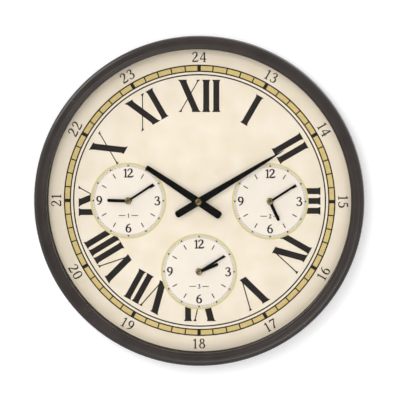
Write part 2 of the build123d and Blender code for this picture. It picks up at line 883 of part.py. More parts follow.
# The main hands are flat, with a counterweight tail; corners run up the right side from the tail
hour_hole = hour_pipe_radius + push_gap
minute_hole = minute_thread_radius + push_gap
main_hour_corners = [
    (main_hour_tail_width / 2 - main_tail_chamfer, -main_tail_length),
    (main_hour_tail_width / 2, main_tail_chamfer - main_tail_length),
    (main_hour_tail_width / 2, -neck_distance),
    (main_hour_neck_width / 2, neck_distance),
    (main_hour_tip_width / 2, main_hour_length - main_hour_tip_chamfer),
    (main_hour_tip_width / 2 - main_hour_tip_chamfer, main_hour_length),
]
main_minute_corners = [
    (main_minute_tail_width / 2 - main_tail_chamfer, -main_tail_length),
    (main_minute_tail_width / 2, main_tail_chamfer - main_tail_length),
    (main_minute_neck_width / 2, neck_distance),
    (main_minute_shoulder_width / 2, main_minute_shoulder),
    (main_minute_tip_width / 2, main_minute_length),
]
main_hands = {
    "hour": (main_hour_back, main_hour_corners, hour_hole),
    "minute": (main_minute_back, main_minute_corners, minute_hole),
}
for kind, (back, corners, hole) in main_hands.items():
    with BuildPart() as main_hand:
        with BuildSketch(front_plane(back, middle, dials["main"][kind])):
            with BuildLine():
                left_side = [(-x, y) for x, y in reversed(corners)]
                Polyline(*corners, *left_side, close=True)
            make_face()
            Circle(main_boss_radius)
            Circle(hole, mode=Mode.SUBTRACT)
        extrude(amount=main_hand_thickness)
        front_edges = main_hand.faces().sort_by(Axis.Y)[0].outer_wire().edges()
        chamfer(front_edges, hand_edge)
    save(main_hand, f"main_{kind}_hand")

# The small dials' hands are straight batons on round bosses, rounded for hours, square for minutes
for name, dial in dials.items():
    if name == "main":
        continue
    with BuildPart() as small_hour_hand:
        with BuildSketch(front_plane(small_hour_back, dial["place"], dial["hour"])):
            with Locations((0, small_hour_length / 2)):
                SlotOverall(small_hour_length, small_hour_width, rotation=90)
            Circle(small_boss_radius)
            Circle(hour_hole, mode=Mode.SUBTRACT)
        extrude(amount=small_hand_thickness)
    save(small_hour_hand, f"{name}_hour_hand")
    with BuildPart() as small_minute_hand:
        with BuildSketch(front_plane(small_minute_back, dial["place"], dial["minute"])):
            with Locations((0, small_minute_length / 2)):
                Rectangle(small_minute_width, small_minute_length)
            Circle(small_boss_radius)
            Circle(minute_hole, mode=Mode.SUBTRACT)
        extrude(amount=small_hand_thickness)
    save(small_minute_hand, f"{name}_minute_hand")
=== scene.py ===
import math

import bpy
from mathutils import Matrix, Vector, geometry


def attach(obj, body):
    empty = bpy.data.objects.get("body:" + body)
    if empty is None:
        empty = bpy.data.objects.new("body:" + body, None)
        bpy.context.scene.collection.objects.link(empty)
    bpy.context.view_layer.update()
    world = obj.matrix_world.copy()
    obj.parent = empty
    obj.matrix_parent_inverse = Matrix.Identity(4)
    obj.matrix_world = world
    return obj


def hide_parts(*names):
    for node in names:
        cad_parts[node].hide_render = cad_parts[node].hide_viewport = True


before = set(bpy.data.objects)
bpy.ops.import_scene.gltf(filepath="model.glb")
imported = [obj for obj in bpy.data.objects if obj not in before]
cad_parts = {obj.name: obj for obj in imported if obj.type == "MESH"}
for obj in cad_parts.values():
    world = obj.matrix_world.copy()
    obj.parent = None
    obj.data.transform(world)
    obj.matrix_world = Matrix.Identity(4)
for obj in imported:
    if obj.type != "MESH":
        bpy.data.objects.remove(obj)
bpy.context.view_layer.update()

# The bezel: one ring injection-moulded in dark brown ABS, with a straight side, a rounded shoulder,
# a narrow flat face, a shallow cove and the lip over the glass. It is hollow behind, and eight
# bosses inside it take the case screws.
MM = 0.001
TURN = 2 * math.pi
OUTER_RADIUS = 200.0
SIDE_INSIDE = 197.4
SIDE_FRONT = 28.0
EDGE_ROUND = 0.6
SHOULDER_RADIUS = 199.1
SHOULDER_START = 42.5
SHOULDER_INSIDE = (196.5, 39.9)
FACE_OUTER = 193.25
FACE_INNER = 189.4
FACE_FRONT = 48.0
FACE_INSIDE = 44.4
COVE_WIDTH = 4.0
COVE_DROP = 1.4
LIP_RADIUS = 183.6
LIP_ROUND = 0.8
BORE_RADIUS = 190.0
BORE_OUTSIDE = 192.6
GLASS_FRONT = 44.0
DIAL_BACK = 22.4
RING_STEPS = 480
BOSSES = 8
BOSS_CIRCLE = 194.6
BOSS_RADIUS = 3.0
BOSS_BORE = 1.6
BOSS_FRONT = 40.5


def linear(code):
    """An sRGB hex colour as linear RGBA."""
    channels = [int(code[i:i + 2], 16) / 255 for i in (1, 3, 5)]
    return (*[c / 12.92 if c <= 0.04045 else ((c + 0.055) / 1.055) ** 2.4 for c in channels], 1.0)


def add_node(material, kind, inputs, **settings):
    """Adds a node with its settings. Each input is a value, or another node's output to link."""
    tree = material.node_tree
    made = tree.nodes.new(kind)
    for name, value in settings.items():
        setattr(made, name, value)
    for name, value in inputs.items():
        if isinstance(value, bpy.types.NodeSocket):
            tree.links.new(value, made.inputs[name])
        else:
            made.inputs[name].default_value = value
    return made


def new_surface(name, values):
    """A material with one Principled shader, which is returned too, and the surface's own coordinates."""
    material = bpy.data.materials.new(name)
    material.use_nodes = True
    shader = material.node_tree.nodes["Principled BSDF"]
    for socket, value in values.items():
        shader.inputs[socket].default_value = value
    places = add_node(material, "ShaderNodeTexCoord", {}).outputs["Object"]
    return material, shader, places


def blotched(material, shader, places, size, colours, roughness):
    """Cloudy changes of colour and gloss over the surface, about size millimetres across."""
    link = material.node_tree.links.new
    noise = add_node(
        material, "ShaderNodeTexNoise", {"Vector": places, "Scale": 1 / (size * MM), "Detail": 4.0}
    )
    ramp = add_node(material, "ShaderNodeValToRGB", {"Fac": noise.outputs["Fac"]})
    ramp.color_ramp.elements[0].position = 0.3
    ramp.color_ramp.elements[0].color = linear(colours[0])
    ramp.color_ramp.elements[1].position = 0.7
    ramp.color_ramp.elements[1].color = linear(colours[1])
    link(ramp.outputs["Color"], shader.inputs["Base Color"])
    gloss = add_node(
        material,
        "ShaderNodeMapRange",
        {"Value": noise.outputs["Fac"], "From Min": 0.3, "From Max": 0.7,
         "To Min": roughness[0], "To Max": roughness[1]},
    )
    link(gloss.outputs["Result"], shader.inputs["Roughness"])


def grained(material, shader, places, grit, depth):
    """A fine relief of grains about grit millimetres across and depth millimetres deep."""
    noise = add_node(
        material, "ShaderNodeTexNoise", {"Vector": places, "Scale": 1 / (grit * MM), "Detail": 2.0}
    )
    relief = add_node(
        material, "ShaderNodeBump", {"Height": noise.outputs["Fac"], "Distance": depth * MM}
    )
    material.node_tree.links.new(relief.outputs["Normal"], shader.inputs["Normal"])


def build(name, points, faces, smooth_below=None):
    """A mesh object from points in millimetres. Edges bent less than smooth_below degrees are smooth."""
    mesh = bpy.data.meshes.new(name)
    mesh.from_pydata([[MM * c for c in p] for p in points], [], faces)
    if smooth_below:
        mesh.shade_smooth()
        mesh.set_sharp_from_angle(angle=math.radians(smooth_below))
    made = bpy.data.objects.new(name, mesh)
    bpy.context.scene.collection.objects.link(made)
    return made


def turned(profile, steps, centre=(0.0, 0.0)):
    """Points and faces of a closed (radius, level) profile turned around an axis square to the wall.
    Corners on the axis become one point each."""
    points, rows = [], []
    for radius, level in profile:
        row = []
        for step in range(steps if radius else 1):
            angle = TURN * step / steps
            row.append(len(points))
            x = centre[0] + radius * math.cos(angle)
            points.append((x, -level, centre[1] + radius * math.sin(angle)))
        rows.append(row if radius else row * steps)
    faces = []
    for here, after in zip(rows, rows[1:] + rows[:1]):
        for step in range(steps):
            ahead = (step + 1) % steps
            corners = [here[step], here[ahead], after[ahead], after[step]]
            corners = [c for i, c in enumerate(corners) if c != corners[i - 1]]
            if len(corners) > 2:
                faces.append(corners)
    return points, faces


# The ring's section, from the lip's underside around the hollow, up the side and back over the face
hollow = [
    (LIP_RADIUS, GLASS_FRONT),
    (BORE_RADIUS, GLASS_FRONT),
    (BORE_RADIUS, DIAL_BACK),
    (BORE_OUTSIDE, DIAL_BACK),
    (BORE_OUTSIDE, FACE_INSIDE),
    (FACE_OUTER, FACE_INSIDE),
    SHOULDER_INSIDE,
    (SIDE_INSIDE, SIDE_FRONT),
    (SIDE_INSIDE, EDGE_ROUND / 2),
    (SIDE_INSIDE + EDGE_ROUND / 2, 0.0),
]
outside = [(OUTER_RADIUS - EDGE_ROUND, 0.0), (OUTER_RADIUS, EDGE_ROUND), (OUTER_RADIUS, SIDE_FRONT)]
shoulder = []
for degrees in range(0, 91, 6):
    c, s = math.cos(math.radians(degrees)), math.sin(math.radians(degrees))
    across = (SHOULDER_RADIUS - FACE_OUTER) * c
    shoulder.append((FACE_OUTER + across, SHOULDER_START + (FACE_FRONT - SHOULDER_START) * s))
cove = []
for step in range(11):
    t = step / 10
    cove.append((FACE_INNER - COVE_WIDTH * t, FACE_FRONT - COVE_DROP * t * t * (3 - 2 * t)))
lip = []
for degrees in range(0, 91, 15):
    c, s = math.cos(math.radians(degrees)), math.sin(math.radians(degrees))
    lip.append((LIP_RADIUS + LIP_ROUND * (1 - s), FACE_FRONT - COVE_DROP - LIP_ROUND * (1 - c)))
points, faces = turned([*hollow, *outside, *shoulder, *cove, *lip], RING_STEPS)
tube = [
    (BOSS_BORE, DIAL_BACK),
    (BOSS_RADIUS, DIAL_BACK),
    (BOSS_RADIUS, BOSS_FRONT),
    (BOSS_BORE, BOSS_FRONT),
]
for boss in range(BOSSES):
    angle = TURN * (boss + 0.5) / BOSSES
    place = (BOSS_CIRCLE * math.cos(angle), BOSS_CIRCLE * math.sin(angle))
    more, sides = turned(tube, steps=24, centre=place)
    faces += [[c + len(points) for c in side] for side in sides]
    points += more
bezel = build("bezel_moulding", points, faces, smooth_below=28)

# ABS moulded in a fine spark-eroded tool: a satin surface with a soft broad highlight, faintly
# uneven in gloss. The grit of 0.9 mm is drawn coarser than the tool's so that it shows.
bronze_abs, shader, places = new_surface("moulded_abs_bronze_brown", {"IOR": 1.53, "Roughness": 0.25})
blotched(bronze_abs, shader, places, 30, ("#322c29", "#3a3330"), (0.22, 0.28))
grained(bronze_abs, shader, places, 0.9, 0.002)
bezel.data.materials.append(bronze_abs)
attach(bezel, "case")
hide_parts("bezel")


# The front glass: a flat disc of float glass with a ground edge, dropped into the bezel from behind
# and held against the lip by the spacer ring.
def dress(material, *names):
    """Gives CAD nodes a material in place of their plain one."""
    for name in names:
        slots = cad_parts[name].data.materials
        slots.clear()
        slots.append(material)


# Float glass: clear, with the faintest haze of dust in its colour. Lamps shine through it.
float_glass, shader, places = new_surface(
    "float_glass_polished", {"IOR": 1.5, "Roughness": 0.0, "Transmission Weight": 1.0}
)
haze = add_node(float_glass, "ShaderNodeTexNoise", {"Vector": places, "Scale": 1 / (60 * MM)})
tint = add_node(float_glass, "ShaderNodeValToRGB", {"Fac": haze.outputs["Fac"]})
tint.color_ramp.elements[0].color = linear("#fbfdfc")
tint.color_ramp.elements[1].color = linear("#ffffff")
float_glass.node_tree.links.new(tint.outputs["Color"], shader.inputs["Base Color"])
dress(float_glass, "front_glass")
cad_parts["front_glass"].visible_shadow = False

# The spacer ring: a plain ring sawn from a black plastic tube. It stands on the dial and keeps the
# glass against the lip, clear of the hands.
# Extruded PVC: dull black with a brown cast, a little scuffed by the saw.
matt_pvc, shader, places = new_surface(
    "extruded_pvc_matt_black", {"IOR": 1.5, "Roughness": 0.7, "Specular IOR Level": 0.25}
)
blotched(matt_pvc, shader, places, 5, ("#191614", "#211d1b"), (0.65, 0.8))
dress(matt_pvc, "spacer_ring")

# The dial plate: a sheet of styrene with a hole for each movement's bush, and a paper-like cream
# print on its front. It lies against the spacer ring, and the back cover's flange holds its rim.
DIAL_FRONT = 24.0
CLOUD_SIZE = 26.0
# Between these two radii the print turns darker towards the rim, blending into the clouds' darker colour.
RIM_DARKENING_START = 160.0
RIM_DARKENING_END = 186.0
# Cream print like old parchment: matt, a little cloudy, with fine fibres, darker and browner towards the
# rim.
parchment, shader, places = new_surface("printed_parchment_cream", {"IOR": 1.45, "Roughness": 0.75})
clouds = add_node(
    parchment, "ShaderNodeTexNoise", {"Vector": places, "Scale": 1 / (CLOUD_SIZE * MM), "Detail": 2.0}
)
sheet = add_node(parchment, "ShaderNodeValToRGB", {"Fac": clouds.outputs["Fac"]})
sheet.color_ramp.elements[0].position = 0.3
sheet.color_ramp.elements[0].color = linear("#eadcc6")
sheet.color_ramp.elements[1].position = 0.7
sheet.color_ramp.elements[1].color = linear("#f2e7d6")
flat = add_node(
    parchment, "ShaderNodeVectorMath", {0: places, 1: (1.0, 0.0, 1.0)}, operation="MULTIPLY"
)
reach = add_node(parchment, "ShaderNodeVectorMath", {0: flat.outputs["Vector"]}, operation="LENGTH")
rim_darkening = add_node(
    parchment,
    "ShaderNodeMapRange",
    {"Value": reach.outputs["Value"], "From Min": RIM_DARKENING_START * MM, "From Max": RIM_DARKENING_END * MM},
    interpolation_type="SMOOTHSTEP",
)
rim_darkened = add_node(
    parchment,
    "ShaderNodeMix",
    {"Factor": rim_darkening.outputs["Result"], "A": sheet.outputs["Color"], "B": linear("#eadcc6")},
    data_type="RGBA",
)
parchment.node_tree.links.new(rim_darkened.outputs["Result"], shader.inputs["Base Color"])
grained(parchment, shader, places, 1.2, 0.004)
dress(parchment, "dial_plate")


# The main dial's black print: Roman hours with their feet to the centre, and the hours of the second
# half-day around the rim. It is one thin coat of ink, screened on before the small dials.
def spoke(shape, clockwise, distance=0.0, centre=(0.0, 0.0), upside_down=False):
    """Shapes drawn about (0, 0), set at a distance from a centre, turned clockwise about it."""
    c, s = math.cos(math.radians(clockwise)), math.sin(math.radians(clockwise))
    sign = -1 if upside_down else 1
    return [
        [
            (centre[0] + sign * x * c + (sign * y + distance) * s,
             centre[1] - sign * x * s + (sign * y + distance) * c)
            for x, y in outline
        ]
        for outline in shape
    ]


def band(inner, outer, centre=(0.0, 0.0), steps=180):
    """A flat ring, as a row of four-sided pieces."""
    pieces = []
    for step in range(steps):
        a, b = TURN * step / steps, TURN * (step + 1) / steps
        corners = [(outer, a), (outer, b), (inner, b), (inner, a)]
        pieces.append([(centre[0] + r * math.cos(t), centre[1] + r * math.sin(t)) for r, t in corners])
    return pieces


def circle(radius, centre=(0.0, 0.0), steps=96):
    """The outline of a disc."""
    angles = [TURN * step / steps for step in range(steps)]
    return [(centre[0] + radius * math.cos(a), centre[1] + radius * math.sin(a)) for a in angles]


def oblong(width, height):
    """A shape of one rectangle about (0, 0)."""
    x, y = width / 2, height / 2
    return [[(-x, -y), (x, -y), (x, y), (-x, y)]]


def coat(name, shapes, low, high, material, cut=()):
    """A closed thin layer of the joined shapes, less the shapes in cut, between two levels off the
    wall."""
    points, rings = [], []
    for outline in [*shapes, *cut]:
        rings.append(list(range(len(points), len(points) + len(outline))))
        points += [Vector(p) for p in outline]
    flat, _, faces, _, _, sources = geometry.delaunay_2d_cdt(points, [], rings, 1, 1e-4)
    kept = [f for f, s in zip(faces, sources) if s and max(s) < len(shapes)]
    used = sorted({c for f in kept for c in f})
    place = {c: i for i, c in enumerate(used)}
    kept = [[place[c] for c in f] for f in kept]
    count = len(used)
    rims = {(a, b) for f in kept for a, b in zip(f, f[1:] + f[:1])}
    rims = [(a, b) for a, b in rims if (b, a) not in rims]
    solid = [*kept, *[[c + count for c in reversed(f)] for f in kept]]
    solid += [[b, a, a + count, b + count] for a, b in sorted(rims)]
    corners = [(flat[c][0], -high, flat[c][1]) for c in used]
    corners += [(flat[c][0], -low, flat[c][1]) for c in used]
    made = build(name, corners, solid)
    made.data.materials.append(material)
    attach(made, "case")
    return made


def pen(path, samples=5):
    """The outline of one stroke through (x, y, width) points, smoothed between them."""
    ends = [path[0], *path, path[-1]]
    fine = []
    for p, q, r, s in zip(ends, ends[1:], ends[2:], ends[3:]):
        for i in range(samples):
            t = i / samples
            fine.append([
                0.5 * (2 * b + (c - a) * t + (2 * a - 5 * b + 4 * c - d) * t * t
                       + (3 * b - a - 3 * c + d) * t ** 3)
                for a, b, c, d in zip(p, q, r, s)
            ])
    fine.append(path[-1])
    left, right = [], []
    for i, (x, y, width) in enumerate(fine):
        before, after = fine[max(i - 1, 0)], fine[min(i + 1, len(fine) - 1)]
        run, rise = after[0] - before[0], after[1] - before[1]
        half = width / 2 / math.hypot(run, rise)
        left.append((x - rise * half, y + run * half))
        right.append((x + rise * half, y - run * half))
    return right + left[::-1]


# Plain serif figures of height 1: width, then the pen strokes as (x, y, stroke width)
SIX = [
    [(.40, .975, .02), (.26, .90, .05), (.13, .70, .095), (.075, .44, .115), (.085, .25, .11),
     (.14, .08, .07), (.25, .015, .03)],
    [(.25, .015, .03), (.37, .07, .075), (.425, .22, .11), (.42, .38, .11), (.36, .53, .075),
     (.25, .575, .035), (.15, .53, .03), (.09, .42, .03)],
]
FIGURES = {
    "0": (.50, [
        [(.25, .985, .03), (.12, .90, .075), (.065, .70, .105), (.055, .5, .115), (.065, .3, .105),
         (.12, .10, .075), (.25, .015, .03)],
        [(.25, .985, .03), (.38, .90, .075), (.435, .70, .105), (.445, .5, .115), (.435, .3, .105),
         (.38, .10, .075), (.25, .015, .03)],
    ]),
    "1": (.36, [
        [(.19, .0, .095), (.19, .97, .095)],
        [(.02, .80, .025), (.10, .86, .04), (.21, .97, .06)],
        [(.05, .015, .03), (.33, .015, .03)],
    ]),
    "2": (.50, [
        [(.085, .735, .11), (.075, .80, .075), (.12, .92, .04), (.23, .98, .035), (.35, .92, .085),
         (.395, .77, .115), (.36, .60, .105), (.26, .42, .075), (.14, .24, .045), (.04, .08, .03)],
        [(.03, .05, .10), (.30, .05, .10), (.45, .06, .09)],
        [(.445, .05, .05), (.475, .13, .04), (.49, .22, .02)],
    ]),
    "3": (.48, [
        [(.07, .80, .10), (.075, .86, .06), (.13, .95, .035), (.22, .985, .03), (.33, .93, .08),
         (.365, .79, .105), (.32, .64, .075), (.20, .55, .03)],
        [(.17, .545, .03), (.30, .52, .05), (.40, .42, .10), (.425, .27, .115), (.37, .10, .085),
         (.23, .015, .035), (.11, .04, .04), (.06, .13, .07), (.075, .20, .10)],
    ]),
    "4": (.50, [
        [(.345, .98, .035), (.02, .30, .035)],
        [(.0, .28, .055), (.50, .28, .055)],
        [(.355, .0, .095), (.355, .985, .095)],
        [(.24, .015, .03), (.47, .015, .03)],
    ]),
    "5": (.46, [
        [(.13, .95, .035), (.10, .56, .035)],
        [(.12, .93, .095), (.25, .93, .095), (.40, .955, .08)],
        [(.10, .555, .03), (.19, .61, .04), (.31, .57, .085), (.40, .42, .115), (.40, .25, .115),
         (.33, .09, .08), (.21, .015, .035), (.10, .04, .04), (.055, .12, .07), (.075, .19, .10)],
    ]),
    "6": (.50, SIX),
    "7": (.49, [
        [(.04, .93, .10), (.25, .93, .10), (.46, .93, .09)],
        [(.05, .96, .04), (.035, .88, .035), (.03, .78, .02)],
        [(.445, .92, .035), (.36, .70, .05), (.25, .42, .08), (.19, .2, .105), (.175, .0, .11)],
    ]),
    "8": (.50, [
        [(.25, .985, .03), (.14, .92, .08), (.105, .78, .10), (.15, .62, .08), (.25, .545, .035)],
        [(.25, .985, .03), (.35, .92, .07), (.385, .78, .085), (.345, .64, .06), (.25, .545, .035)],
        [(.25, .555, .035), (.12, .46, .07), (.065, .28, .10), (.11, .10, .075), (.25, .015, .03)],
        [(.25, .555, .035), (.38, .44, .085), (.435, .27, .115), (.39, .10, .08), (.25, .015, .03)],
    ]),
    "9": (.50, [[(.5 - x, 1 - y, w) for x, y, w in reversed(stroke)] for stroke in SIX]),
}


def number(text, height, spread, gap, bolder):
    """A whole number's outlines, centred on (0, 0); spread widens the figures, gap sets them apart, and
    bolder is added to each stroke's width."""
    outlines, right = [], 0.0
    for figure in text:
        width, strokes = FIGURES[figure]
        for stroke in strokes:
            wide = [(right + x * spread, y - 0.5, w + bolder) for x, y, w in stroke]
            outlines.append([(x * height, y * height) for x, y in pen(wide)])
        right += width * spread + gap
    middle = (right - gap) * height / 2
    return [[(x - middle, y) for x, y in outline] for outline in outlines]


HOUR_ANGLE = 30
MINUTE_ANGLE = 6
ROMAN_FOOT = 108.0
ROMAN_HEAD = 147.0
THICK = 7.3
SLANTED = 8.2
THIN = 1.4
FLARE = 1.4
HOURS_COAT = 0.05
# How a flare dies away: the height from the stroke's end, and the share of the flare there
FLARE_CURVE = ((0.0, 1.0), (0.5, 1.0), (1.4, 0.4), (3.2, 0.0))


def roman_stroke(head, foot, width, head_flare, foot_flare):
    """One stroke of a Roman hour between the inner and the outer circle, with flared ends."""
    tall = ROMAN_HEAD - ROMAN_FOOT
    ends = [(y, share * foot_flare) for y, share in FLARE_CURVE]
    ends += [(tall - y, share * head_flare) for y, share in reversed(FLARE_CURVE)]
    right = [(foot + (head - foot) * y / tall + width / 2 + flare, y + ROMAN_FOOT) for y, flare in ends]
    left = [(foot + (head - foot) * y / tall - width / 2 - flare, y + ROMAN_FOOT) for y, flare in ends]
    return right + left[::-1]


# Each letter: its strokes as (head, foot, width, flare at the head, flare at the foot)
LETTERS = {
    "I": [(0.0, 0.0, THICK, FLARE, FLARE)],
    "V": [(0.0, 10.6, SLANTED, FLARE, 0.3), (21.4, 11.9, THIN, FLARE, 0.0)],
    "X": [(0.0, 17.1, SLANTED, FLARE, FLARE), (19.8, -2.6, THIN, FLARE, FLARE)],
}
# How far the next letter's first stroke stands from this letter's last head
NEXT = {"II": 12.2, "IV": 11.0, "IX": 11.6, "VI": 8.6, "XI": 9.2}
# Each hour: how far it is squeezed, and how many degrees it stands before its place
HOURS = {
    "I": (1.0, 0.0), "II": (1.0, 0.3), "III": (0.98, 0.3), "IV": (0.95, 0.5), "V": (1.04, 0.2),
    "VI": (0.95, 0.4), "VII": (0.9, 1.0), "VIII": (0.905, 1.35), "IX": (0.97, 0.0), "X": (1.0, 0.0),
    "XI": (1.0, 0.0), "XII": (1.0, 0.0),
}
black_print = []
for hour, (word, (squeeze, early)) in enumerate(HOURS.items(), 1):
    strokes, start = [], 0.0
    for i, letter in enumerate(word):
        if i:
            start += NEXT[word[i - 1] + letter] * squeeze
        for head, foot, width, head_flare, foot_flare in LETTERS[letter]:
            strokes.append((start + head * squeeze, start + foot * squeeze, width, head_flare, foot_flare))
        start += LETTERS[letter][-1][0] * squeeze
    edges = [min(s[:2]) - s[2] / 2 for s in strokes] + [max(s[:2]) + s[2] / 2 for s in strokes]
    middle = (min(edges) + max(edges)) / 2
    word_shape = [roman_stroke(s[0] - middle, s[1] - middle, *s[2:]) for s in strokes]
    black_print += spoke(word_shape, HOUR_ANGLE * hour - early)

# The hours of the second half-day. Those at the bottom stand with their feet outwards.
DAY_HOUR_RADIUS = 174.5
for hour in range(13, 25):
    shape = number(str(hour), height=11.8, spread=1.3, gap=0.17, bolder=0.05)
    black_print += spoke(shape, HOUR_ANGLE * hour, DAY_HOUR_RADIUS, upside_down=15 < hour < 21)

SMALL_DIAL_OFFSET = 86.2
SMALL_DIALS = {
    "left": (-SMALL_DIAL_OFFSET, 0.0),
    "right": (SMALL_DIAL_OFFSET, 0.0),
    "lower": (0.0, -SMALL_DIAL_OFFSET),
}
SMALL_DIAL_RADIUS = 46.4
small_discs = [circle(SMALL_DIAL_RADIUS, centre) for centre in SMALL_DIALS.values()]
# Screen ink: soft matt black with a brown cast, a little uneven where the paper shows through.
black_ink, shader, places = new_surface(
    "screen_ink_black", {"IOR": 1.5, "Roughness": 0.75, "Specular IOR Level": 0.3}
)
blotched(black_ink, shader, places, 3, ("#211d1b", "#292422"), (0.7, 0.8))
hours_print = coat(
    "dial_hours_print", black_print, DIAL_FRONT, DIAL_FRONT + HOURS_COAT, black_ink, cut=small_discs
)

# The minute track: a band of old-gold ink between black lines, over a white band that sets it off
# from the hours. The black ladder of minutes is printed last.
TRACK_INNER = 158.0
TRACK_OUTER = 163.6
TRACK_LINE = 1.6
WHITE_INNER = 153.9
MINUTE_RUNG = 1.5
FIVE_MINUTE_RUNG = 4.2
WHITE_COAT = 0.03
GOLD_COAT = 0.04
LADDER_COAT = 0.07
track_lines = band(TRACK_INNER - TRACK_LINE, TRACK_INNER)
track_lines += band(TRACK_OUTER, TRACK_OUTER + TRACK_LINE)
track_lines += band(WHITE_INNER - TRACK_LINE, WHITE_INNER)
for minute in range(60):
    wide = MINUTE_RUNG if minute % 5 else FIVE_MINUTE_RUNG
    rung = oblong(wide, TRACK_OUTER - TRACK_INNER + TRACK_LINE)
    track_lines += spoke(rung, MINUTE_ANGLE * minute, (TRACK_INNER + TRACK_OUTER) / 2)
# Old-gold ink: an opaque ochre yellow, not metallic, slightly mottled.
gold_ink, shader, places = new_surface("screen_ink_old_gold", {"IOR": 1.5, "Roughness": 0.55})
blotched(gold_ink, shader, places, 4, ("#cfb670", "#dcc484"), (0.5, 0.62))
# White ink: a clean opaque off-white, flatter and paler than the parchment around it.
white_ink, shader, places = new_surface("screen_ink_white", {"IOR": 1.5, "Roughness": 0.6})
blotched(white_ink, shader, places, 8, ("#ede1cf", "#f1e6d6"), (0.55, 0.65))
white_shape = band(WHITE_INNER, TRACK_INNER - TRACK_LINE)
gold_shape = band(TRACK_INNER, TRACK_OUTER)
white_band = coat("track_white_print", white_shape, DIAL_FRONT, DIAL_FRONT + WHITE_COAT, white_ink)
gold_band = coat("track_gold_print", gold_shape, DIAL_FRONT, DIAL_FRONT + GOLD_COAT, gold_ink)
ladder = coat("track_lines_print", track_lines, DIAL_FRONT, DIAL_FRONT + LADDER_COAT, black_ink)

# The three small dials: off-white discs printed over the hours, each with a thin gold ring, a
# hatched ring with a dot at each hour, and black figures. A plain number stands for each zone.
BUSH_HOLE = 3.2
HATCH_INNER = 41.0
HATCH_OUTER = 44.1
HATCH_STROKES = 120
HATCH_LEAN = 1.4
HATCH_WIDTH = 0.7
DOT_RADIUS = 1.1
DOT_CIRCLE = 42.8
DASH_SIZE = (1.25, 6.2)
DASH_CIRCLE = 34.2
ZONE_DROP = 18.1
ZONE_DASH_SIZE = (8.0, 0.9)
ZONE_DASH_SIDE = 7.8
DISC_COAT = 0.06
RING_COAT = 0.03
HATCH_COAT = 0.02
FIGURES_COAT = 0.05
DISC_FRONT = DIAL_FRONT + DISC_COAT
# How far each quarter's figure stands from the small dial's centre
QUARTERS = {12: 33.8, 3: 35.3, 6: 33.4, 9: 35.6}
hatch_stroke = [[
    (-HATCH_LEAN, HATCH_INNER),
    (HATCH_WIDTH - HATCH_LEAN, HATCH_INNER),
    (HATCH_LEAN, HATCH_OUTER),
    (HATCH_LEAN - HATCH_WIDTH, HATCH_OUTER),
]]
discs_print, rings_print, hatch_print, figures_print = [], [], [], []
for zone, centre in enumerate(SMALL_DIALS.values(), 1):
    discs_print += band(BUSH_HOLE, SMALL_DIAL_RADIUS, centre, steps=120)
    rings_print += band(HATCH_OUTER, SMALL_DIAL_RADIUS, centre, steps=120)
    for stroke in range(HATCH_STROKES):
        hatch_print += spoke(hatch_stroke, 360 / HATCH_STROKES * stroke, 0, centre)
    for hour in range(1, 13):
        angle = HOUR_ANGLE * hour
        figures_print += spoke([circle(DOT_RADIUS, steps=16)], angle, DOT_CIRCLE, centre)
        if hour in QUARTERS:
            c, s = math.cos(math.radians(angle)), math.sin(math.radians(angle))
            place = (centre[0] + QUARTERS[hour] * s, centre[1] + QUARTERS[hour] * c)
            shape = number(str(hour), height=10.4, spread=1.4, gap=-0.06, bolder=0.088)
            figures_print += spoke(shape, 0, 0, place)
        else:
            figures_print += spoke(oblong(*DASH_SIZE), angle, DASH_CIRCLE, centre)
    label = (centre[0], centre[1] - ZONE_DROP)
    shape = number(str(zone), height=5.0, spread=1.2, gap=0.05, bolder=0.1)
    figures_print += spoke(shape, 0, 0, label)
    for side in (-1, 1):
        place = (label[0] + side * ZONE_DASH_SIDE, label[1])
        figures_print += spoke(oblong(*ZONE_DASH_SIZE), 0, 0, place)
# Small-dial ink: a warm off-white, paler than the parchment.
offwhite_ink, shader, places = new_surface("screen_ink_warm_white", {"IOR": 1.5, "Roughness": 0.65})
blotched(offwhite_ink, shader, places, 12, ("#eee4d7", "#f2e8dc"), (0.6, 0.7))
# Pale-gold ink: the track's ochre let down with white.
pale_gold_ink, shader, places = new_surface("screen_ink_pale_gold", {"IOR": 1.5, "Roughness": 0.55})
blotched(pale_gold_ink, shader, places, 4, ("#cfc186", "#d9cc95"), (0.5, 0.62))
# Hatching ink: a thin warm grey that lets the white through.
grey_ink, shader, places = new_surface("screen_ink_warm_grey", {"IOR": 1.5, "Roughness": 0.65})
blotched(grey_ink, shader, places, 2, ("#7c7167", "#897f75"), (0.6, 0.7))
small_coats = [
    coat("small_dials_white_print", discs_print, DIAL_FRONT, DISC_FRONT, offwhite_ink),
    coat("small_dials_gold_print", rings_print, DISC_FRONT, DISC_FRONT + RING_COAT, pale_gold_ink),
    coat("small_dials_hatching_print", hatch_print, DISC_FRONT, DISC_FRONT + HATCH_COAT, grey_ink),
    coat("small_dials_black_print", figures_print, DISC_FRONT, DISC_FRONT + FIGURES_COAT, black_ink),
]

# The movement housings: two black styrene halves per movement, moulded and snapped together. The
# front half has the threaded bush, the rear half the pivot holes and the open battery bay.
# Moulded styrene: black and fairly shiny on the ribs, duller where the mould was textured.
black_styrene, shader, places = new_surface("moulded_styrene_black", {"IOR": 1.59, "Roughness": 0.45})
blotched(black_styrene, shader, places, 14, ("#171717", "#1e1e1f"), (0.36, 0.52))
grained(black_styrene, shader, places, 0.7, 0.012)
MOVEMENTS = {"main": (0.0, 0.0), **SMALL_DIALS}
dress(black_styrene, *[f"{name}_movement_case" for name in MOVEMENTS])
dress(black_styrene, *[f"{name}_movement_cover" for name in MOVEMENTS])

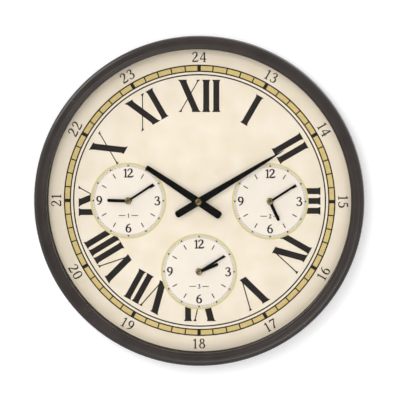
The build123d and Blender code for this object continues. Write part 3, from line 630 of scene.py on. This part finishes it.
# Raised marks moulded on each housing's back: the battery's plus and minus beside the bay, and a
# ring of arrows around the setting knob. They stand a quarter of a millimetre proud.
HOUSING_BACK = 5.2
MARK_HEIGHT = 0.25
STEM = (-10.39, 6.0)
SIGN_SIDE = 22.5
SIGN_BELOW = -7.8
SIGN_LENGTH = 4.2
SIGN_WIDTH = 1.0
ARROW_CIRCLE = 9.6
ARROW_WIDTH = 0.8
ARROW_STARTS = (20, 200)
ARROW_SWEEP = 100
ARROW_STEP = 4
ARROW_TIP = [[(-1.6, -1.5), (1.6, 0.0), (-1.6, 1.5)]]
RIDGE_SIZE = (14.0, 0.8)
RIDGES = ((12.0, 22.0), (12.0, 19.6))
back_marks = []
for centre in MOVEMENTS.values():
    for mark, side in (("plus", 1), ("minus", -1)):
        spot = (centre[0] + side * SIGN_SIDE, centre[1] + SIGN_BELOW)
        back_marks += spoke(oblong(SIGN_LENGTH, SIGN_WIDTH), 0, 0, spot)
        if mark == "plus":
            back_marks += spoke(oblong(SIGN_WIDTH, SIGN_LENGTH), 0, 0, spot)
    knob = (centre[0] + STEM[0], centre[1] + STEM[1])
    for start in ARROW_STARTS:
        end = start + ARROW_SWEEP + ARROW_STEP
        angles = range(start, end, ARROW_STEP)
        arc = [spoke([[(0.0, 0.0)]], angle, ARROW_CIRCLE, knob)[0][0] for angle in angles]
        back_marks.append(pen([(x, z, ARROW_WIDTH) for x, z in arc], samples=1))
        back_marks += spoke(ARROW_TIP, end, ARROW_CIRCLE, knob)
    for x, z in RIDGES:
        back_marks += spoke(oblong(*RIDGE_SIZE), 0, 0, (centre[0] + x, centre[1] + z))
marks = coat("housing_back_marks", back_marks, HOUSING_BACK - MARK_HEIGHT, HOUSING_BACK, black_styrene)

# The wheels: moulded in natural acetal, pinion and arbor in one piece, running in holes of the two
# housing halves. The minute wheel sits on the setting stem.
# Natural acetal: milky white, waxy, with a soft highlight.
acetal, shader, places = new_surface(
    "moulded_acetal_natural", {"IOR": 1.48, "Roughness": 0.4, "Subsurface Weight": 0.15}
)
shader.inputs["Subsurface Radius"].default_value = (1.0, 0.9, 0.8)
shader.inputs["Subsurface Scale"].default_value = 1 * MM
blotched(acetal, shader, places, 5, ("#e2dfd6", "#ebe9e2"), (0.34, 0.48))
for wheel in ("hour_wheel", "minute_wheel", "third_wheel", "second_wheel"):
    dress(acetal, *[f"{name}_{wheel}" for name in MOVEMENTS])

# The minute arbors and the bush nuts: turned from brass bar. The arbor carries the centre wheel and
# the cannon pinion; the hexagon nut clamps the housing's bush to the dial.
# Turned brass: warm yellow metal with fine tool marks and a few duller patches from handling.
brass, shader, places = new_surface("turned_brass", {"Metallic": 1.0, "Roughness": 0.3})
blotched(brass, shader, places, 2.5, ("#98825a", "#ad966c"), (0.2, 0.32))
grained(brass, shader, places, 0.25, 0.004)
dress(brass, "bush_nuts", *[f"{name}_minute_arbor" for name in MOVEMENTS])

# The rubber washers: discs punched from sheet, with a hole for the bush. Each is squeezed between its
# housing and the dial when the nut is drawn up.
# Sheet rubber: dull black with a dusty bloom.
rubber, shader, places = new_surface("punched_rubber_black", {"IOR": 1.52, "Roughness": 0.85})
blotched(rubber, shader, places, 2, ("#161616", "#232322"), (0.8, 0.95))
grained(rubber, shader, places, 0.3, 0.01)
dress(rubber, "dial_washers")

# The motors: a stamped iron stator with the moulded rotor cap, and a coil of enamelled wire on the
# stator's upper bar. They stand on two posts of the front housing half.
# Stamped silicon iron: grey, rolled along its length, with a slight oxide tint.
iron, shader, places = new_surface("stamped_silicon_iron", {"Metallic": 1.0, "Roughness": 0.4})
blotched(iron, shader, places, 3, ("#7c7d80", "#94949a"), (0.32, 0.48))
grained(iron, shader, places, 0.3, 0.004)
dress(iron, "motor_stators")
# Enamelled copper wire: close turns side by side, with painted shade in the grooves between turns and a
# painted highlight on each crown. Wire of 0.1 mm is drawn at 0.8 mm so that it shows.
WIRE_SHOWN = 0.79
copper, shader, places = new_surface("wound_enamelled_copper", {"Metallic": 0.9, "Roughness": 0.35})
turns = add_node(
    copper,
    "ShaderNodeTexWave",
    {"Vector": places, "Scale": TURN / (20 * WIRE_SHOWN * MM), "Distortion": 0.4},
    bands_direction="X",
)
# Painted shade and highlight: dark brown in the grooves between turns, bright copper on each turn's crown.
painted_turn_shading = add_node(copper, "ShaderNodeValToRGB", {"Fac": turns.outputs["Fac"]})
painted_turn_shading.color_ramp.elements[0].color = linear("#6a3312")
painted_turn_shading.color_ramp.elements[1].color = linear("#b4682e")
copper.node_tree.links.new(painted_turn_shading.outputs["Color"], shader.inputs["Base Color"])
ridges = add_node(copper, "ShaderNodeBump", {"Height": turns.outputs["Fac"], "Distance": 0.1 * MM})
copper.node_tree.links.new(ridges.outputs["Normal"], shader.inputs["Normal"])
dress(copper, "motor_coils")

# The circuit boards: glass-fibre laminate under green lacquer, with the chip and the crystal on the
# back. Each lies flat in a corner of its front housing half.
# Green solder lacquer: glossy, with the weave of the laminate just showing as a check.
WEAVE_SIZE = 0.8
laminate, shader, places = new_surface("lacquered_glass_laminate", {"IOR": 1.55, "Roughness": 0.25})
weave = add_node(laminate, "ShaderNodeTexChecker", {"Vector": places, "Scale": 1 / (WEAVE_SIZE * MM)})
weave.inputs["Color1"].default_value = linear("#1d4a2a")
weave.inputs["Color2"].default_value = linear("#245a33")
laminate.node_tree.links.new(weave.outputs["Color"], shader.inputs["Base Color"])
dress(laminate, "circuit_boards")

# The battery contacts: strips stamped from nickel-plated spring steel, with a pressed bump. One stands
# at each end of a battery, against the housing's side.
# Nickel plate: bright grey, faintly cloudy, with fine rolling marks.
plated_steel, shader, places = new_surface("plated_spring_steel", {"Metallic": 1.0, "Roughness": 0.3})
blotched(plated_steel, shader, places, 3, ("#adada9", "#bcbcb7"), (0.26, 0.34))
grained(plated_steel, shader, places, 0.4, 0.0015)
dress(plated_steel, "battery_contacts")

# The batteries: drawn steel cans in a printed sleeve, with the bare button at one end and the bare
# base at the other. One lies in the open bay of each housing.
BATTERY_LENGTH = 50.5
BATTERY_LEVEL = 12.7
BATTERY_DROP = 19.3
SLEEVE_RADIUS = 7.1
PALE_BAND_START = 33.0
base = [(0.0, 0.0), (4.2, 0.0), (4.4, 0.25), (4.9, 0.25), (5.2, 0.0), (6.3, 0.0), (6.9, 0.25)]
sleeve = [
    (SLEEVE_RADIUS, along)
    for along in (0.8, 0.85, PALE_BAND_START, PALE_BAND_START + 0.05, 48.5, 48.55)
]
crimp = [(6.9, 49.2), (6.3, 49.5), (4.0, 49.5), (3.7, 49.2), (2.9, 49.2), (2.7, 49.5)]
button = [(2.7, 50.2), (2.4, BATTERY_LENGTH), (0.0, BATTERY_LENGTH)]
# Printed battery sleeve: shiny shrunk film over the can, grey-blue with a pale band at the plus end.
sleeve_film, shader, places = new_surface("printed_sleeve_film_blue", {"IOR": 1.5, "Roughness": 0.25})
blotched(sleeve_film, shader, places, 6, ("#47596b", "#52657a"), (0.2, 0.32))
band_film, shader, places = new_surface("printed_sleeve_film_pale", {"IOR": 1.5, "Roughness": 0.25})
blotched(band_film, shader, places, 6, ("#b6b9b9", "#c6c9c8"), (0.2, 0.32))
points, faces, inks = [], [], []
for centre in MOVEMENTS.values():
    more, sides = turned([*base, *sleeve, *crimp, *button], steps=48)
    start = len(points)
    left = centre[0] - BATTERY_LENGTH / 2
    points += [(left - y, -z - BATTERY_LEVEL, x + centre[1] - BATTERY_DROP) for x, y, z in more]
    for side in sides:
        middle = sum(-more[c][1] for c in side) / len(side)
        if min(math.hypot(more[c][0], more[c][2]) for c in side) < SLEEVE_RADIUS - 0.1:
            inks.append(0)
        else:
            inks.append(1 if middle < PALE_BAND_START else 2)
        faces.append([c + start for c in side])
batteries = build("battery_cells", points, faces, smooth_below=35)
for material in (plated_steel, sleeve_film, band_film):
    batteries.data.materials.append(material)
for face, ink in zip(batteries.data.polygons, inks):
    face.material_index = ink
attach(batteries, "case")
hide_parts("batteries")

# The setting knobs: fluted wheels of pale styrene with a dished back, moulded and pressed on the
# stems behind the housings.
KNOB_RADIUS = 7.0
KNOB_BACK = 2.2
KNOB_FRONT = 4.9
FLUTES = 24
FLUTE_RADIUS = 0.7
FLUTED_FROM = 6.5
STEM_RADIUS = 1.52
STEM_END = 3.0
dished = [(0.0, 2.45), (1.6, 2.45), (1.9, 2.75), (5.0, 2.75), (5.4, 2.3), (5.7, KNOB_BACK)]
edge = [(6.75, KNOB_BACK), (KNOB_RADIUS, 2.45), (KNOB_RADIUS, 4.65), (6.75, KNOB_FRONT)]
socket = [(STEM_RADIUS, KNOB_FRONT), (STEM_RADIUS, STEM_END), (0.0, STEM_END)]
# Pale styrene: ivory, softly shiny on the flutes.
ivory_styrene, shader, places = new_surface("moulded_styrene_ivory", {"IOR": 1.59, "Roughness": 0.4})
blotched(ivory_styrene, shader, places, 5, ("#cbc6b6", "#d6d2c5"), (0.34, 0.48))
for name, centre in MOVEMENTS.items():
    points, faces = turned([*dished, *edge, *socket], steps=10 * FLUTES)
    fluted = []
    for x, y, z in points:
        off = math.remainder(math.atan2(z, x), TURN / FLUTES)
        bite = FLUTE_RADIUS ** 2 - (KNOB_RADIUS * math.sin(off)) ** 2
        if math.hypot(x, z) > FLUTED_FROM and bite > 0:
            inward = math.cos(off) - math.sqrt(bite) / KNOB_RADIUS
            x, z = x * inward, z * inward
        fluted.append((centre[0] + STEM[0] + x, y, centre[1] + STEM[1] + z))
    knob = build(f"{name}_fluted_knob", fluted, faces, smooth_below=35)
    knob.data.materials.append(ivory_styrene)
    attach(knob, f"{name}_setting")
    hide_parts(f"{name}_setting_knob")

# The hands: stamped from thin aluminium and lacquered black. The hour hands are pushed on the
# pipes, the minute hands lie on the arbors' shoulders under the cap nuts.
# Satin black lacquer: deep black with a low, wide sheen and the slightest orange peel.
lacquer, shader, places = new_surface(
    "sprayed_lacquer_black", {"IOR": 1.5, "Roughness": 0.28, "Specular IOR Level": 0.1}
)
blotched(lacquer, shader, places, 6, ("#0b0a0a", "#100f0e"), (0.25, 0.32))
grained(lacquer, shader, places, 0.8, 0.004)
for hand in ("hour_hand", "minute_hand"):
    dress(lacquer, *[f"{name}_{hand}" for name in MOVEMENTS])

# The cap nuts: small brass domes with a narrow rim, turned from bar and screwed over each minute
# hand. Each one turns with its hand.
# Each cap's radius, the level of its back, and its height
SMALL_CAP = (3.6, 30.3, 2.1)
CAPS = {"main": (4.05, 37.6, 2.9), "left": SMALL_CAP, "right": SMALL_CAP, "lower": SMALL_CAP}
RIM_SHARE = 0.4
THREAD_SHARE = 0.6
THREAD_RADIUS = 1.1
BACK_EDGE = 0.15
RIM_EDGE = 0.1
DOME_STEP = 0.12
DOME_SHARE = 0.96
FLAT_SHARE = 0.5
# Satin brass: smooth but no mirror, a little paler than the turned brass, with the odd faint cloud.
satin_brass, shader, places = new_surface("turned_brass_satin", {"Metallic": 1.0, "Roughness": 0.25})
blotched(satin_brass, shader, places, 4, ("#a8946a", "#bba67c"), (0.22, 0.28))
for name, (radius, back, height) in CAPS.items():
    rim = back + RIM_SHARE * height
    thread_end = back + THREAD_SHARE * height
    bore = [(0.0, thread_end), (THREAD_RADIUS, thread_end), (THREAD_RADIUS, back)]
    side = [
        (radius - BACK_EDGE, back),
        (radius, back + BACK_EDGE),
        (radius, rim - RIM_EDGE),
        (radius - RIM_EDGE, rim),
    ]
    dome = []
    for degrees in range(0, 91, 9):
        c, s = math.cos(math.radians(degrees)), math.sin(math.radians(degrees))
        level = rim + DOME_STEP + (back + height - rim - DOME_STEP) * s
        dome.append((radius * (FLAT_SHARE + (DOME_SHARE - FLAT_SHARE) * c), level))
    points, faces = turned([*bore, *side, *dome, (0.0, back + height)], steps=64, centre=MOVEMENTS[name])
    cap = build(f"{name}_brass_cap", points, faces, smooth_below=40)
    cap.data.materials.append(satin_brass)
    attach(cap, f"{name}_minute")
    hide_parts(f"{name}_cap_nut")

# The back cover: an ABS pan moulded in black, ribbed for stiffness, with a window for each movement
# and a flange that eight screws pull against the bezel's bosses.
# Black ABS from a coarsely etched mould: matt, with a leathery grain of about a millimetre.
etched_abs, shader, places = new_surface("moulded_abs_black_etched", {"IOR": 1.53, "Roughness": 0.6})
blotched(etched_abs, shader, places, 40, ("#1f1e1d", "#262524"), (0.52, 0.66))
grained(etched_abs, shader, places, 1.1, 0.04)
dress(etched_abs, "back_cover")

# The screws and the hanger plate: zinc-plated steel. The plate has a keyhole for a wall screw, and
# stands on two posts of the back cover.
# Rolled steel under zinc: pale grey and softly shiny, with fine lines along the strip and faint clouds.
zinc, shader, places = new_surface("rolled_steel_zinc_plated", {"Metallic": 1.0, "Roughness": 0.36})
blotched(zinc, shader, places, 18, ("#a3a5a6", "#b0b2b2"), (0.32, 0.4))
lengthwise = add_node(zinc, "ShaderNodeMapping", {"Vector": places, "Scale": (0.03, 1.0, 1.0)})
grained(zinc, shader, lengthwise.outputs["Vector"], 0.5, 0.002)
dress(zinc, "case_screws", "hanger_screws", "hanger_plate")

# The stage: a pale wall behind the clock, open where the clock hangs, and a soft studio. Two large lamps
# near the camera, which nothing mirrors, light the dial with faint shadows. Three more show in the
# bezel, and two light the back.
WALL_OPENING = 199.0
WALL_REACH = 3000.0
WALL_SET_BACK = 0.5
WALL_GLOW = 0.22
WALL_MIRRORED = 0.55
# Wall paint: matt near-white that glows a little, so that the shadow on it stays pale. Mirrored in the
# bezel it is an even pale grey. It can't be seen from behind, so that the clock's back shows.
wall_points = [(x, WALL_SET_BACK, z) for piece in band(WALL_OPENING, WALL_REACH) for x, z in piece]
wall = build("pale_wall", wall_points, [range(c, c + 4) for c in range(0, len(wall_points), 4)])
paint = bpy.data.materials.new("matt_wall_paint")
paint.use_nodes = True
paint.cycles.emission_sampling = "NONE"
paint.node_tree.nodes.remove(paint.node_tree.nodes["Principled BSDF"])
chalk = add_node(paint, "ShaderNodeBsdfDiffuse", {"Color": linear("#f4f4f4")})
glow = add_node(paint, "ShaderNodeEmission", {"Color": linear("#ffffff"), "Strength": WALL_GLOW})
both = add_node(paint, "ShaderNodeAddShader", {0: chalk.outputs[0], 1: glow.outputs[0]})
dim = add_node(paint, "ShaderNodeEmission", {"Color": linear("#ffffff"), "Strength": WALL_MIRRORED})
ray = add_node(paint, "ShaderNodeLightPath", {})
lit = add_node(
    paint, "ShaderNodeMixShader", {0: ray.outputs["Is Glossy Ray"], 1: both.outputs[0], 2: dim.outputs[0]}
)
clear = add_node(paint, "ShaderNodeBsdfTransparent", {})
side = add_node(paint, "ShaderNodeNewGeometry", {})
shown = add_node(
    paint, "ShaderNodeMixShader", {0: side.outputs["Backfacing"], 1: lit.outputs[0], 2: clear.outputs[0]}
)
output = paint.node_tree.nodes["Material Output"]
paint.node_tree.links.new(shown.outputs[0], output.inputs["Surface"])
wall.data.materials.append(paint)


def lamp(name, place, size, watts, target=(0.0, -0.02, 0.0)):
    """A soft box of a width and height in metres, aimed at the clock."""
    light = bpy.data.lights.new(name, "AREA")
    light.shape = "RECTANGLE"
    light.size, light.size_y = size
    light.energy = watts
    made = bpy.data.objects.new(name, light)
    made.location = place
    made.rotation_euler = (Vector(target) - Vector(place)).to_track_quat("-Z", "Y").to_euler()
    bpy.context.scene.collection.objects.link(made)
    return made


front = lamp("front_soft_box", (0.14, -2.7, 0.2), (1.6, 1.6), 29)
main = lamp("main_soft_box", (-0.5, -2.6, 0.75), (1.0, 1.0), 21)
# The glass would mirror these two straight into the camera
for box in (front, main):
    box.visible_glossy = False
    box.visible_transmission = False
lamp("upper_left_soft_box", (-1.8, -0.95, 1.45), (1.4, 1.4), 18)
lamp("right_soft_box", (0.75, -2.6, -0.75), (0.7, 0.9), 4)
lamp("low_soft_box", (0.15, -2.6, -1.1), (1.2, 0.6), 7)
lamp("rear_soft_box", (-1.4, 2.0, 1.2), (1.3, 1.3), 70)
lamp("rear_fill_soft_box", (1.5, 1.8, -1.2), (1.0, 1.0), 40)

# The room around the clock: dark behind the camera, pale at the sides, dim behind the wall. The camera
# itself sees plain white.
world = bpy.data.worlds.new("pale_studio")
bpy.context.scene.world = world
world.use_nodes = True
around = add_node(world, "ShaderNodeTexCoord", {})
way = add_node(world, "ShaderNodeSeparateXYZ", {"Vector": around.outputs["Generated"]})
depth = add_node(world, "ShaderNodeMapRange", {"Value": way.outputs["Y"], "From Min": -1.0})
room = add_node(world, "ShaderNodeValToRGB", {"Fac": depth.outputs["Result"]})
stops = room.color_ramp.elements
# Place from front to back, and brightness there
for place, bright in ((0.035, 0.04), (0.15, 0.5), (0.42, 0.5), (0.5, 0.12)):
    stops.new(place).color = (bright, bright, bright, 1.0)
stops.remove(stops[0])
stops.remove(stops[-1])
ray = add_node(world, "ShaderNodeLightPath", {})
air = add_node(
    world,
    "ShaderNodeMix",
    {"Factor": ray.outputs["Is Camera Ray"], "A": room.outputs["Color"], "B": linear("#f9f9f9")},
    data_type="RGBA",
)
world.node_tree.links.new(air.outputs["Result"], world.node_tree.nodes["Background"].inputs["Color"])
bpy.context.scene.view_settings.view_transform = "Standard"

# The camera stands a little to the right of the clock and above it, far off with a long lens.
AIM = Vector((1.06, -24.0, 1.2)) * MM
CAMERA_AZIMUTH = math.radians(3.4)
CAMERA_ELEVATION = math.radians(4.5)
CAMERA_DISTANCE = 2.361
back = Vector((
    math.sin(CAMERA_AZIMUTH) * math.cos(CAMERA_ELEVATION),
    -math.cos(CAMERA_AZIMUTH) * math.cos(CAMERA_ELEVATION),
    math.sin(CAMERA_ELEVATION),
))
lens = bpy.data.cameras.new("camera")
lens.lens = 175
lens.sensor_width = 36
camera = bpy.data.objects.new("camera", lens)
camera.location = AIM + back * CAMERA_DISTANCE
camera.rotation_euler = (-back).to_track_quat("-Z", "Y").to_euler()
bpy.context.scene.collection.objects.link(camera)
bpy.context.scene.camera = camera
